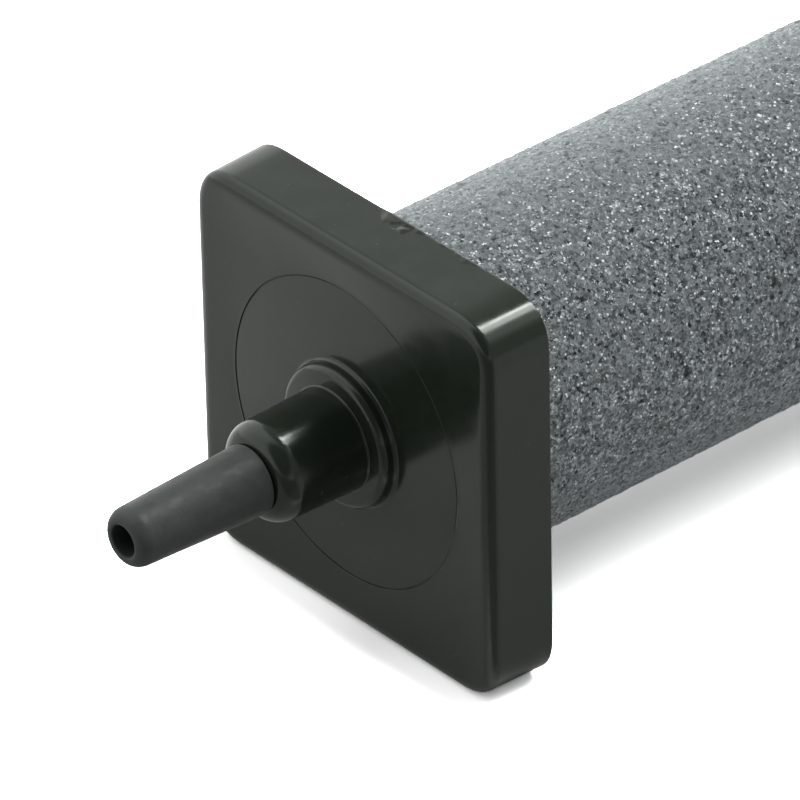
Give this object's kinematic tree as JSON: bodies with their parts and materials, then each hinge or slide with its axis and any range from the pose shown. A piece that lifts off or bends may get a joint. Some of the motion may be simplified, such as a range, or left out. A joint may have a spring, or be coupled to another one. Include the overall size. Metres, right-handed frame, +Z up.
{
  "type": "air stone",
  "caption": "Cylindrical porous mineral air stone with square plastic end caps that keep it from rolling and a tapered hose nipple on one end.",
  "frame": {"origin": "centre of the footprint on the floor plane, halfway between the nipple's tip and the rear cap's outer face", "axes": "+Z up; the stone's axis is parallel to Y, 15.95 mm above the floor; the hose nipple points to -Y"},
  "size_m": [0.0318, 0.1276, 0.0319],
  "materials": {
    "cap_plastic": "glossy moulded black plastic",
    "nipple_plastic": "satin black plastic",
    "mineral": "porous sintered mineral grains",
    "adhesive": "dark cured adhesive"
  },
  "bodies": {
    "root": {"front_cap": "cap_plastic", "hose_nipple": "nipple_plastic", "stone_body": "mineral", "rear_cap": "cap_plastic", "front_glue": "adhesive", "rear_glue": "adhesive"}
  },
  "joints": []
}
